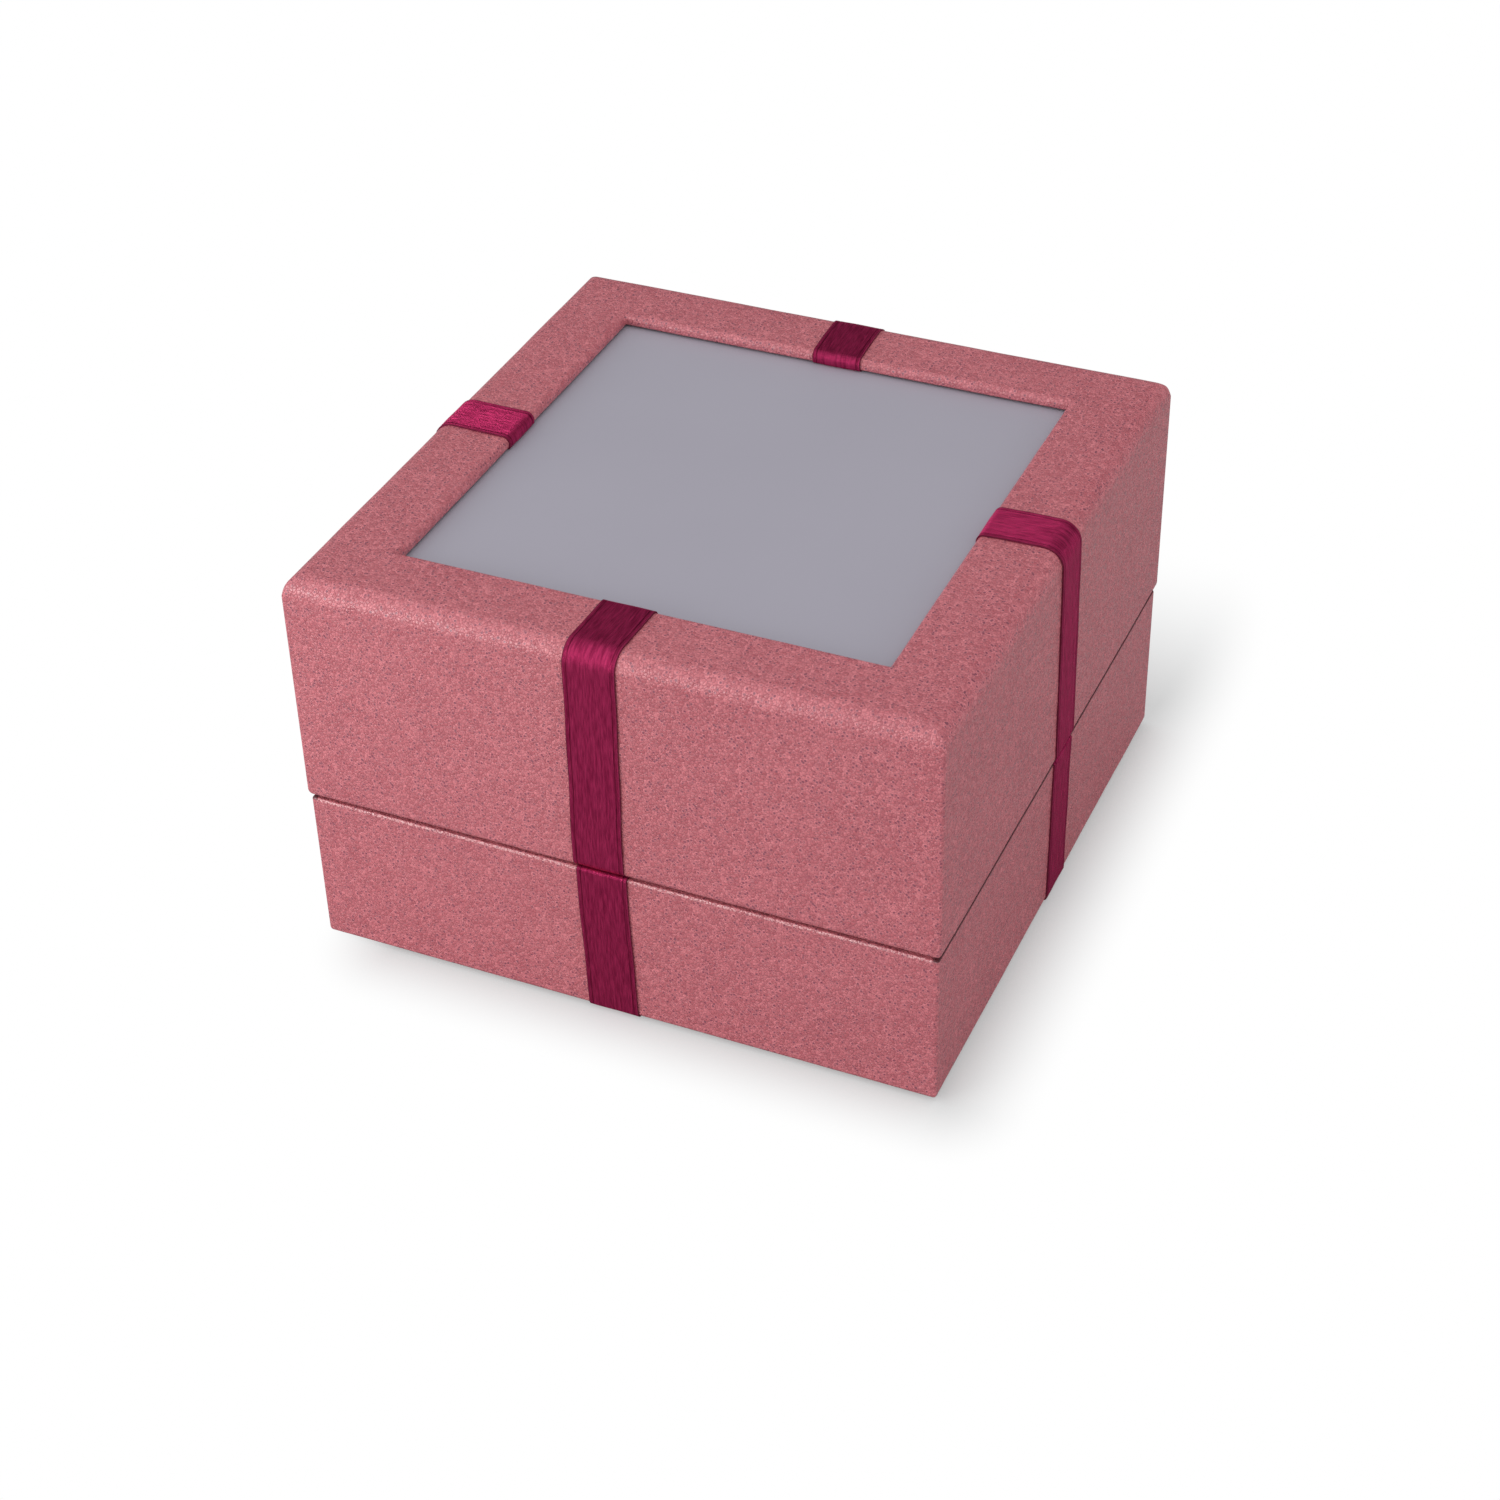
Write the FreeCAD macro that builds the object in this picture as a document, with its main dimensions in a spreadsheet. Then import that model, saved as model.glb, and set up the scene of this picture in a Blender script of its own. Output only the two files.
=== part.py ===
import FreeCAD, Part
import math
import os
import Sketcher

# Square gift box: a deep lift-off lid with a panel in a window, over a shallow base with a neck.
# Boards are covered in leatherette, with a satin ribbon on the middle of each side.
# Millimetres, +Z up, front towards -Y, origin under the middle of the box on what it stands on.

SIZES = {
    # outside of the covered box
    "lid_side": 150.0,
    "lid_height": 57.5,
    "base_height": 39.6,
    "base_inset": 0.5,
    # boards, cards and sheets
    "board": 4.0,
    "floor_board": 3.0,
    "neck_board": 2.0,
    "wrap": 0.5,
    "lining": 0.4,
    "panel_thick": 2.0,
    "backing": 1.5,
    "liner": 1.0,
    "pad_thick": 0.8,
    # window in the lid
    "window_side": 112.0,
    "lip": 1.5,
    "rebate": 6.0,
    # rounded board edges
    "top_radius": 3.5,
    "window_radius": 1.0,
    "lid_foot_radius": 1.5,
    "rim_radius": 0.8,
    "base_foot_radius": 0.6,
    "neck_radius": 0.5,
    # rounded upright corners of the cover
    "corner_radius": 0.8,
    # how far the cover is turned over each edge
    "window_turn": 5.0,
    "lid_turn": 12.0,
    "rim_turn": 12.0,
    "under_turn": 16.0,
    # ribbons, each set to the right of the middle of its side by its shift
    "ribbon_width": 12.0,
    "ribbon_thick": 0.4,
    "window_tuck": 4.0,
    "seam_tuck": 10.0,
    "under_tuck": 18.0,
    "front_shift": -2.4,
    "right_shift": 2.6,
    "back_shift": 1.8,
    "left_shift": -0.4,
    # neck, floor and underside
    "neck_rise": 14.0,
    "pad_margin": 5.0,
    # clearances
    "seam_clearance": 0.1,
    "neck_clearance": 0.1,
    "panel_clearance": 0.5,
    "backing_clearance": 0.2,
    "liner_clearance": 0.2,
    "filler_clearance": 0.5,
    "groove_clearance": 0.3,
    # how far a cut runs past what it cuts
    "overrun": 1.0,
}

SIDES = {"right": 0, "back": 90, "left": 180, "front": 270}
ROOT, START, END = -1, 1, 2
UP = FreeCAD.Vector(0, 0, 1)
TOUCH = 1e-4

doc = FreeCAD.newDocument("gift_box")
dims = doc.addObject("Spreadsheet::Sheet", "dims")
for row, (alias, size) in enumerate(SIZES.items(), start=1):
    dims.set(f"A{row}", str(size))
    dims.setAlias(f"A{row}", alias)
doc.recompute()

# Distances from the middle of the box, outwards
LID_FACE = "(dims.lid_side / 2)"
LID_BOARD_OUT = f"({LID_FACE} - dims.wrap)"
LID_BOARD_IN = f"({LID_BOARD_OUT} - dims.board)"
WINDOW_FACE = "(dims.window_side / 2)"
LIP_IN = f"({WINDOW_FACE} + dims.wrap)"
REBATE_OUT = f"({LIP_IN} + dims.rebate)"
BASE_FACE = f"({LID_FACE} - dims.base_inset)"
BASE_BOARD_OUT = f"({BASE_FACE} - dims.wrap)"
BASE_BOARD_IN = f"({BASE_BOARD_OUT} - dims.board)"
NECK_OUT = f"({BASE_BOARD_IN} - dims.wrap - dims.ribbon_thick - dims.neck_clearance)"
NECK_IN = f"({NECK_OUT} - dims.neck_board)"
UNDER_TURN_END = f"({BASE_FACE} - dims.under_turn)"
UNDER_TUCK_END = f"({BASE_FACE} - dims.under_tuck)"
PAD_EDGE = f"({BASE_FACE} - dims.pad_margin)"

# Heights above the surface that the box stands on
PAD_TOP = "dims.pad_thick"
BASE_BOARD_FOOT = f"({PAD_TOP} + dims.wrap)"
FLOOR_TOP = f"({BASE_BOARD_FOOT} + dims.floor_board)"
RIM = "dims.base_height"
BASE_BOARD_TOP = f"({RIM} - dims.wrap)"
NECK_TOP = f"({RIM} + dims.neck_rise)"
LID_FOOT = f"({RIM} + 2 * dims.ribbon_thick + dims.seam_clearance)"
LID_BOARD_FOOT = f"({LID_FOOT} + dims.wrap)"
LID_TURN_END = f"({LID_FOOT} + dims.lid_turn)"
RAIL_TOP = f"({LID_FOOT} + dims.lid_height - dims.wrap)"
LIP_FOOT = f"({RAIL_TOP} - dims.lip)"
PANEL_TOP = f"({LIP_FOOT} - dims.wrap - dims.ribbon_thick)"
RAIL_FOOT = f"({PANEL_TOP} - dims.panel_thick)"
BACKING_FOOT = f"({RAIL_FOOT} - dims.backing)"

# Edge rounds, each no larger than its board can take
TOP_ROUND = f"min(dims.top_radius; {RAIL_TOP} - {RAIL_FOOT})"
WINDOW_ROUND = "min(dims.window_radius; dims.lip)"
LID_FOOT_ROUND = "min(dims.lid_foot_radius; dims.board)"
RIM_ROUND = "min(dims.rim_radius; dims.board)"
BASE_FOOT_ROUND = "min(dims.base_foot_radius; dims.board)"
NECK_ROUND = "min(dims.neck_radius; dims.neck_board / 2)"

# The board faces that the cover follows, in order: axis, place, outward sign and round to the next
LID_SURFACE = [
    ("z", LIP_FOOT, "-", None),
    ("x", LIP_IN, "-", WINDOW_ROUND),
    ("z", RAIL_TOP, "+", TOP_ROUND),
    ("x", LID_BOARD_OUT, "+", LID_FOOT_ROUND),
    ("z", LID_BOARD_FOOT, "-", None),
    ("x", LID_BOARD_IN, "-", None),
]
BASE_SURFACE = [
    ("z", BASE_BOARD_FOOT, "-", BASE_FOOT_ROUND),
    ("x", BASE_BOARD_OUT, "+", RIM_ROUND),
    ("z", BASE_BOARD_TOP, "+", None),
    ("x", BASE_BOARD_IN, "-", None),
]
COVER = "dims.wrap"
RIBBON = "(dims.wrap + dims.ribbon_thick)"

parts = []


def value(formula):
    """Work out a formula from the sheet."""
    return float(dims.evalExpression(formula))


def bind(sketch, kind, size, *where):
    """Add a dimension to a sketch and tie it to the sheet."""
    index = sketch.addConstraint(Sketcher.Constraint(kind, *where, value(size)))
    sketch.setExpression(f"Constraints[{index}]", size)


def new_body(label, angle):
    """Start a sub-part, turned about the upright axis to its side of the box."""
    body = doc.addObject("PartDesign::Body", label)
    body.Label = label
    body.Placement = FreeCAD.Placement(FreeCAD.Vector(), FreeCAD.Rotation(UP, angle))
    return body


def new_sketch(body, name, plane):
    """Start a sketch on one of a body's own origin planes."""
    sketch = body.newObject("Sketcher::SketchObject", f"{body.Name}_{name}")
    support = next(item for item in body.Origin.OriginFeatures if item.Role == plane)
    sketch.AttachmentSupport = [(support, "")]
    sketch.MapMode = "FlatFace"
    return sketch


def add_round(sketch, corner, arriving, leaving, radius):
    """Draw the arc that rounds a corner, and say which of its ends comes first along the outline."""
    centre = corner + (leaving - arriving) * radius
    ends = [corner - arriving * radius, corner + leaving * radius]
    turns_left = arriving.cross(leaving).z > 0
    if not turns_left:
        ends.reverse()
    angles = [math.atan2(end.y - centre.y, end.x - centre.x) for end in ends]
    arc = sketch.addGeometry(Part.ArcOfCircle(Part.Circle(centre, UP, radius), *angles))
    return (arc, START, END) if turns_left else (arc, END, START)


def draw_outline(sketch, edges):
    """Draw a closed outline of upright and level lines: axis, place, and the round to the next line."""
    count = len(edges)
    places = [value(place) for axis, place, rounding in edges]
    radii = [value(rounding) if rounding else 0.0 for axis, place, rounding in edges]
    corners = []
    for index, (axis, place, rounding) in enumerate(edges):
        crossing = {axis: places[index], edges[(index + 1) % count][0]: places[(index + 1) % count]}
        corners.append(FreeCAD.Vector(crossing["x"], crossing["z"], 0))
    headings = [(corners[index] - corners[index - 1]).normalize() for index in range(count)]
    lines = []
    for index in range(count):
        start = corners[index - 1] + headings[index] * radii[index - 1]
        end = corners[index] - headings[index] * radii[index]
        lines.append(sketch.addGeometry(Part.LineSegment(start, end)))
    for index, (axis, place, rounding) in enumerate(edges):
        line = lines[index]
        following = lines[(index + 1) % count]
        sketch.addConstraint(Sketcher.Constraint("Vertical" if axis == "x" else "Horizontal", line))
        bind(sketch, "DistanceX" if axis == "x" else "DistanceY", place, ROOT, START, line, START)
        if rounding:
            leaving = headings[(index + 1) % count]
            arc, first, last = add_round(sketch, corners[index], headings[index], leaving, radii[index])
            sketch.addConstraint(Sketcher.Constraint("Tangent", line, END, arc, first))
            sketch.addConstraint(Sketcher.Constraint("Tangent", arc, last, following, START))
            bind(sketch, "Radius", rounding, arc)
        else:
            sketch.addConstraint(Sketcher.Constraint("Coincident", line, END, following, START))


def layer(surface, distance):
    """Move a run of board faces outwards, with every round growing by as much."""
    moved = []
    for axis, place, sign, rounding in surface:
        moved.append((axis, f"({place} {sign} {distance})", f"({rounding or 0} + {distance})"))
    return moved


def strip(surface, under, over, start, end):
    """Outline a sheet that lies over board faces, between two distances from them and two cut ends."""
    bare = [(axis, place, rounding) for axis, place, sign, rounding in surface]
    outer = layer(surface, over)
    inner = layer(surface, under) if under else bare
    outer[-1] = outer[-1][:2] + (None,)
    back = [(inner[-1][0], inner[-1][1], inner[-2][2])]
    for index in range(len(inner) - 2, 0, -1):
        back.append((inner[index][0], inner[index][1], inner[index - 1][2]))
    back.append((inner[0][0], inner[0][1], None))
    return outer + [("z", end, None)] + back + [("x", start, None)]


def add_pad(body, sketch, length):
    """Extrude a sketch evenly to both sides."""
    pad = body.newObject("PartDesign::Pad", f"{body.Name}_pad")
    pad.Profile = sketch
    pad.SideType = "Symmetric"
    pad.setExpression("Length", length)
    sketch.Visibility = False
    doc.recompute()
    return pad


def draw_mitres(sketch, near, far):
    """Draw the two triangles beyond the diagonals of the box, one at each end of a board."""
    near_place = value(near)
    far_place = value(far)
    for side in (1, -1):
        corners = [
            FreeCAD.Vector(near_place, side * near_place, 0),
            FreeCAD.Vector(near_place, side * far_place, 0),
            FreeCAD.Vector(far_place, side * far_place, 0),
        ]
        lines = []
        for index, corner in enumerate(corners):
            lines.append(sketch.addGeometry(Part.LineSegment(corner, corners[(index + 1) % 3])))
        for index, line in enumerate(lines):
            sketch.addConstraint(Sketcher.Constraint("Coincident", line, END, lines[(index + 1) % 3], START))
        sketch.addConstraint(Sketcher.Constraint("Vertical", lines[0]))
        sketch.addConstraint(Sketcher.Constraint("Horizontal", lines[1]))
        for line, place in ((lines[0], near), (lines[2], far)):
            bind(sketch, "DistanceX", place, ROOT, START, line, START)
            ends = (ROOT, START, line, START) if side > 0 else (line, START, ROOT, START)
            bind(sketch, "DistanceY", place, *ends)


def mitred_board(label, side, edges, inside, outside):
    """Make the board on one side of the box, with ends cut at 45 degrees to meet its neighbours."""
    body = new_body(label, SIDES[side])
    section = new_sketch(body, "section", "XZ_Plane")
    draw_outline(section, edges)
    whole = add_pad(body, section, f"2 * {outside}").Shape.Volume
    cut = new_sketch(body, "cut", "XY_Plane")
    draw_mitres(cut, f"({inside} / 2)", f"({outside} + dims.overrun)")
    pocket = body.newObject("PartDesign::Pocket", f"{body.Name}_mitre")
    pocket.Profile = cut
    pocket.Type = "ThroughAll"
    pocket.SideType = "Symmetric"
    doc.recompute()
    if pocket.Shape.Volume >= whole:
        raise RuntimeError(f"the mitres of {label} cut nothing")
    return body


def band(label, edges, inside, outside):
    """Make a sheet that goes right round the box, from a mitred length on each side joined at the corners."""
    joined = doc.addObject("Part::MultiFuse", label)
    joined.Label = label
    joined.Shapes = [mitred_board(f"{label}_{side}", side, edges, inside, outside) for side in SIDES]
    joined.Refine = True
    doc.recompute()
    return joined


def round_corners(label, sheet, place, *board_rounds):
    """Round the upright corners of a cover, less than the cover is rounded above and below them."""
    half = value(place)
    limits = "; ".join(f"{rounding} + dims.wrap / 2" for rounding in board_rounds)
    radius = value(f"min(dims.corner_radius; {limits})")
    upright = []
    for index, edge in enumerate(sheet.Shape.Edges, start=1):
        box = edge.BoundBox
        outside = all(abs(abs(end.X) - half) + abs(abs(end.Y) - half) < TOUCH for end in edge.Vertexes)
        if outside and box.XLength + box.YLength < TOUCH:
            upright.append((index, radius, radius))
    rounded = doc.addObject("Part::Fillet", label)
    rounded.Label = label
    rounded.Base = sheet
    rounded.Edges = upright
    return rounded


def ribbon(label, side, edges):
    """Make a ribbon on one side of the box, beside the middle by that side's shift."""
    body = new_body(label, SIDES[side])
    section = new_sketch(body, "section", "XZ_Plane")
    section.setExpression("AttachmentOffset.Base.z", f"-dims.{side}_shift")
    draw_outline(section, edges)
    add_pad(body, section, "dims.ribbon_width")
    return body


def plate(label, half, foot, top):
    """Make a flat square sheet, centred on the box, between two heights."""
    sheet = doc.addObject("Part::Box", label)
    sheet.Label = label
    for name in ("Length", "Width"):
        sheet.setExpression(name, f"2 * {half}")
    sheet.setExpression("Height", f"{top} - {foot}")
    for axis in ("x", "y"):
        sheet.setExpression(f"Placement.Base.{axis}", f"-{half}")
    sheet.setExpression("Placement.Base.z", foot)
    return sheet


def ribbon_groove(side):
    """Make the block that clears a ribbon's end out of the pad under the base."""
    block = doc.addObject("Part::Box", f"groove_{side}")
    width = "(dims.ribbon_width + 2 * dims.groove_clearance)"
    inner_end = f"({UNDER_TUCK_END} - dims.groove_clearance)"
    block.setExpression("Length", f"{PAD_EDGE} - {inner_end} + dims.overrun")
    block.setExpression("Width", width)
    block.setExpression("Height", "dims.ribbon_thick + dims.overrun")
    turn = FreeCAD.Rotation(UP, SIDES[side])
    across = f"dims.{side}_shift - {width} / 2"
    corner = FreeCAD.Vector(value(inner_end), value(across), value(f"{PAD_TOP} - dims.ribbon_thick"))
    block.Placement = FreeCAD.Placement(turn.multVec(corner), turn)
    return block


# Lid frame rails and walls
rail_section = [
    ("x", LIP_IN, WINDOW_ROUND),
    ("z", RAIL_TOP, TOP_ROUND),
    ("x", LID_BOARD_OUT, None),
    ("z", RAIL_FOOT, None),
    ("x", REBATE_OUT, None),
    ("z", LIP_FOOT, None),
]
lid_wall_section = [
    ("x", LID_BOARD_IN, None),
    ("z", RAIL_FOOT, None),
    ("x", LID_BOARD_OUT, LID_FOOT_ROUND),
    ("z", LID_BOARD_FOOT, None),
]
for side in SIDES:
    parts.append(mitred_board(f"lid_rail_{side}", side, rail_section, LIP_IN, LID_BOARD_OUT))
    parts.append(mitred_board(f"lid_wall_{side}", side, lid_wall_section, LID_BOARD_IN, LID_BOARD_OUT))

# Lid cover, with its turn-ins under the window lip and inside the walls
window_turn_end = f"({LIP_IN} + dims.window_turn)"
lid_cover_section = strip(LID_SURFACE, None, COVER, window_turn_end, LID_TURN_END)
lid_cover = band("lid_cover", lid_cover_section, WINDOW_FACE, LID_FACE)
parts.append(round_corners("lid_wrap", lid_cover, LID_FACE, LID_FOOT_ROUND, TOP_ROUND))

# Lining band above the turned-in cover, up to the backing
lining_section = [
    ("x", f"({LID_BOARD_IN} - dims.lining)", None),
    ("z", BACKING_FOOT, None),
    ("x", LID_BOARD_IN, None),
    ("z", LID_TURN_END, None),
]
parts.append(band("lid_lining", lining_section, LID_BOARD_IN, LID_BOARD_IN))

# Panel in the rebate, and the card that holds it up
parts.append(plate("display_panel", f"({REBATE_OUT} - dims.panel_clearance)", RAIL_FOOT, PANEL_TOP))
parts.append(plate("panel_backing", f"({LID_BOARD_IN} - dims.backing_clearance)", BACKING_FOOT, RAIL_FOOT))

# Base walls, board and cover
base_wall_section = [
    ("x", BASE_BOARD_IN, None),
    ("z", BASE_BOARD_TOP, RIM_ROUND),
    ("x", BASE_BOARD_OUT, BASE_FOOT_ROUND),
    ("z", BASE_BOARD_FOOT, None),
]
for side in SIDES:
    parts.append(mitred_board(f"base_wall_{side}", side, base_wall_section, BASE_BOARD_IN, BASE_BOARD_OUT))
parts.append(plate("base_board", BASE_BOARD_IN, BASE_BOARD_FOOT, FLOOR_TOP))
rim_turn_end = f"({RIM} - dims.rim_turn)"
base_cover_section = strip(BASE_SURFACE, None, COVER, UNDER_TURN_END, rim_turn_end)
base_cover = band("base_cover", base_cover_section, UNDER_TURN_END, BASE_FACE)
parts.append(round_corners("base_wrap", base_cover, BASE_FACE, BASE_FOOT_ROUND, RIM_ROUND))

# Neck boards and the liner on the floor between them
neck_section = [
    ("x", NECK_IN, NECK_ROUND),
    ("z", NECK_TOP, NECK_ROUND),
    ("x", NECK_OUT, None),
    ("z", FLOOR_TOP, None),
]
for side in SIDES:
    parts.append(mitred_board(f"neck_{side}", side, neck_section, NECK_IN, NECK_OUT))
liner_edge = f"({NECK_IN} - dims.liner_clearance)"
parts.append(plate("floor_liner", liner_edge, FLOOR_TOP, f"({FLOOR_TOP} + dims.liner)"))

# Ribbons, tucked in under the window lip, at the seam and under the base
lid_tuck_end = f"({LID_FOOT} + dims.seam_tuck)"
rim_tuck_end = f"({RIM} - dims.seam_tuck)"
lid_ribbon_section = strip(LID_SURFACE, COVER, RIBBON, f"({LIP_IN} + dims.window_tuck)", lid_tuck_end)
base_ribbon_section = strip(BASE_SURFACE, COVER, RIBBON, UNDER_TUCK_END, rim_tuck_end)
for side in SIDES:
    parts.append(ribbon(f"lid_ribbon_{side}", side, lid_ribbon_section))
    parts.append(ribbon(f"base_ribbon_{side}", side, base_ribbon_section))

# Underside: a card inside the turned-under cover, and a felt pad grooved for the ribbon ends
filler_edge = f"({UNDER_TURN_END} - dims.filler_clearance)"
parts.append(plate("base_filler", filler_edge, PAD_TOP, BASE_BOARD_FOOT))
grooves = doc.addObject("Part::MultiFuse", "ribbon_grooves")
grooves.Shapes = [ribbon_groove(side) for side in SIDES]
base_pad = doc.addObject("Part::Cut", "base_pad")
base_pad.Base = plate("pad_sheet", PAD_EDGE, "0", PAD_TOP)
base_pad.Tool = grooves
parts.append(base_pad)

doc.recompute()
failed = [item.Label for item in doc.Objects if {"Invalid", "Error"} & set(item.State)]
failed += [part.Label for part in parts if part.Shape.isNull() or not part.Shape.isValid()]
if failed:
    raise RuntimeError(f"these came out wrong: {', '.join(failed)}")
os.makedirs("parts", exist_ok=True)
for part in parts:
    part.Shape.exportStep(f"parts/{part.Label}.step")
    print(f"{part.Label}: {len(part.Shape.Solids)} solid, {part.Shape.Volume:.1f} mm3")
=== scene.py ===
import logging
import math
from dataclasses import dataclass, field
from enum import Enum
from typing import Callable, Optional, Union

import bpy
from mathutils import Matrix, Vector


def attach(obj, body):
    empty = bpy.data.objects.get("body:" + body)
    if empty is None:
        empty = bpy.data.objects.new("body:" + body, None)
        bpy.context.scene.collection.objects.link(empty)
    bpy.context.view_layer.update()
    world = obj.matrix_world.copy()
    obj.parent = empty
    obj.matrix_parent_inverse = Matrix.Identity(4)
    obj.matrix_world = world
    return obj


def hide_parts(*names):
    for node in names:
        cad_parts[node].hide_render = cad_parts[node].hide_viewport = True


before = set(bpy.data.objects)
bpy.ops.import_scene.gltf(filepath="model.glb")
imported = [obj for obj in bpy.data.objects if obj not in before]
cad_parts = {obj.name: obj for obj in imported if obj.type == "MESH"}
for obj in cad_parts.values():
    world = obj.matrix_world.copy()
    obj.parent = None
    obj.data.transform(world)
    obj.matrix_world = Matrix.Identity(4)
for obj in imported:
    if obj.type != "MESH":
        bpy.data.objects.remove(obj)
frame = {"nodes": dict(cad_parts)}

LOG = logging.getLogger("gift_box")
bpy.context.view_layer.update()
Colour = tuple[float, float, float, float]
Given = Union["Wire", float, tuple]
EdgeRule = Callable[[Vector, Vector], float]


def mm(length: float) -> float:
    """Turn millimetres into metres."""
    return length * 0.001


# Heights that the covers, the ribbons and the finish of the rim share.
SEAM = mm(40.0)
LID_TOP = mm(98.0)
# Lengths that differ by less than this are the same.
SAME = mm(0.001)
# The part of a noise's range that most of it lies in.
MIDDLE = (0.30, 0.70)
# How much of the white round the box shows in its gloss.
WHITE_IN_GLOSS = 0.05


def near(first: float, second: float) -> bool:
    """Tell whether two lengths are the same."""
    return abs(first - second) < SAME


def reach(point: Vector) -> float:
    """Tell how far a point stands out from the axis, square to the sides."""
    return max(abs(point.x), abs(point.y))


def swatch(red: int, green: int, blue: int) -> Colour:
    """Give the linear colour of a swatch that is written in screen values.

    Args:
        red: Red of the swatch, 0 to 255.
        green: Green of the swatch, 0 to 255.
        blue: Blue of the swatch, 0 to 255.

    Returns:
        The linear colour, with full cover.
    """
    def undo(value: int) -> float:
        """Undo the screen curve of one channel."""
        share = value / 255
        return share / 12.92 if share <= 0.04045 else ((share + 0.055) / 1.055) ** 2.4

    return undo(red), undo(green), undo(blue), 1.0


def grey(level: float) -> Colour:
    """Give a grey of a linear level."""
    return level, level, level, 1.0


class Side(Enum):
    """A side of the box: the way it faces, and the way across it, to the right when facing it."""

    FRONT = ((0, -1, 0), (1, 0, 0))
    RIGHT = ((1, 0, 0), (0, 1, 0))
    BACK = ((0, 1, 0), (-1, 0, 0))
    LEFT = ((-1, 0, 0), (0, -1, 0))

    @property
    def label(self) -> str:
        """Name of the side as the model's nodes spell it."""
        return self.name.lower()

    @property
    def outward(self) -> Vector:
        """Direction that the side faces."""
        return Vector(self.value[0])

    @property
    def across(self) -> Vector:
        """Direction to the right, seen facing the side."""
        return Vector(self.value[1])


class Stuff(Enum):
    """What a carried-over piece is made of."""

    FIBRE = "fibre board"
    LINING = "lining paper"
    CARD = "grey card"
    COAT = "coated panel"
    FELT = "felt"


class Wire:
    """A shader socket that takes part in Python arithmetic."""

    def __init__(self, board: "NodeBoard", socket: Optional[bpy.types.NodeSocket]) -> None:
        """Keep the socket and the board that new nodes go on."""
        self.board = board
        self.socket = socket

    def other(self, output: Union[str, int]) -> "Wire":
        """Give another output of the same node, by name or number."""
        return Wire(self.board, self.socket.node.outputs[output])

    def _maths(self, operation: str, first: Given, second: Given) -> "Wire":
        """Add one Math node."""
        return self.board.node("ShaderNodeMath", {"operation": operation}, {0: first, 1: second})

    def __add__(self, other: Given) -> "Wire":
        """Add a value."""
        return self._maths("ADD", self, other)

    def __radd__(self, other: Given) -> "Wire":
        """Be added to a value."""
        return self._maths("ADD", other, self)

    def __sub__(self, other: Given) -> "Wire":
        """Take a value away."""
        return self._maths("SUBTRACT", self, other)

    def __rsub__(self, other: Given) -> "Wire":
        """Be taken away from a value."""
        return self._maths("SUBTRACT", other, self)

    def __mul__(self, other: Given) -> "Wire":
        """Multiply by a value."""
        return self._maths("MULTIPLY", self, other)

    def __rmul__(self, other: Given) -> "Wire":
        """Multiply a value."""
        return self._maths("MULTIPLY", other, self)

    def __abs__(self) -> "Wire":
        """Drop the sign."""
        return self._maths("ABSOLUTE", self, 0.0)

    def sine(self) -> "Wire":
        """Take the sine."""
        return self._maths("SINE", self, 0.0)

    def root(self) -> "Wire":
        """Take the square root."""
        return self._maths("SQRT", self, 0.0)

    def at_least(self, other: Given) -> "Wire":
        """Take the larger of this and a value."""
        return self._maths("MAXIMUM", self, other)

    def ease(self, low: float, high: float) -> "Wire":
        """Rise smoothly from 0 at the low value to 1 at the high one.

        Args:
            low: Value at which the rise starts.
            high: Value at which the rise ends.

        Returns:
            The eased value.
        """
        limits = {0: self, 1: low, 2: high, 3: 0.0, 4: 1.0}
        return self.board.node("ShaderNodeMapRange", {"interpolation_type": "SMOOTHSTEP"}, limits)

    def band(self, start: float, full: float, fade: float, end: float) -> "Wire":
        """Rise smoothly from 0 to 1, stay there and fall back to 0.

        Args:
            start: Value at which the rise starts.
            full: Value at which it ends.
            fade: Value at which the fall starts.
            end: Value at which it ends.

        Returns:
            The banded value.
        """
        return self.ease(start, full) * (1.0 - self.ease(fade, end))


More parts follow.
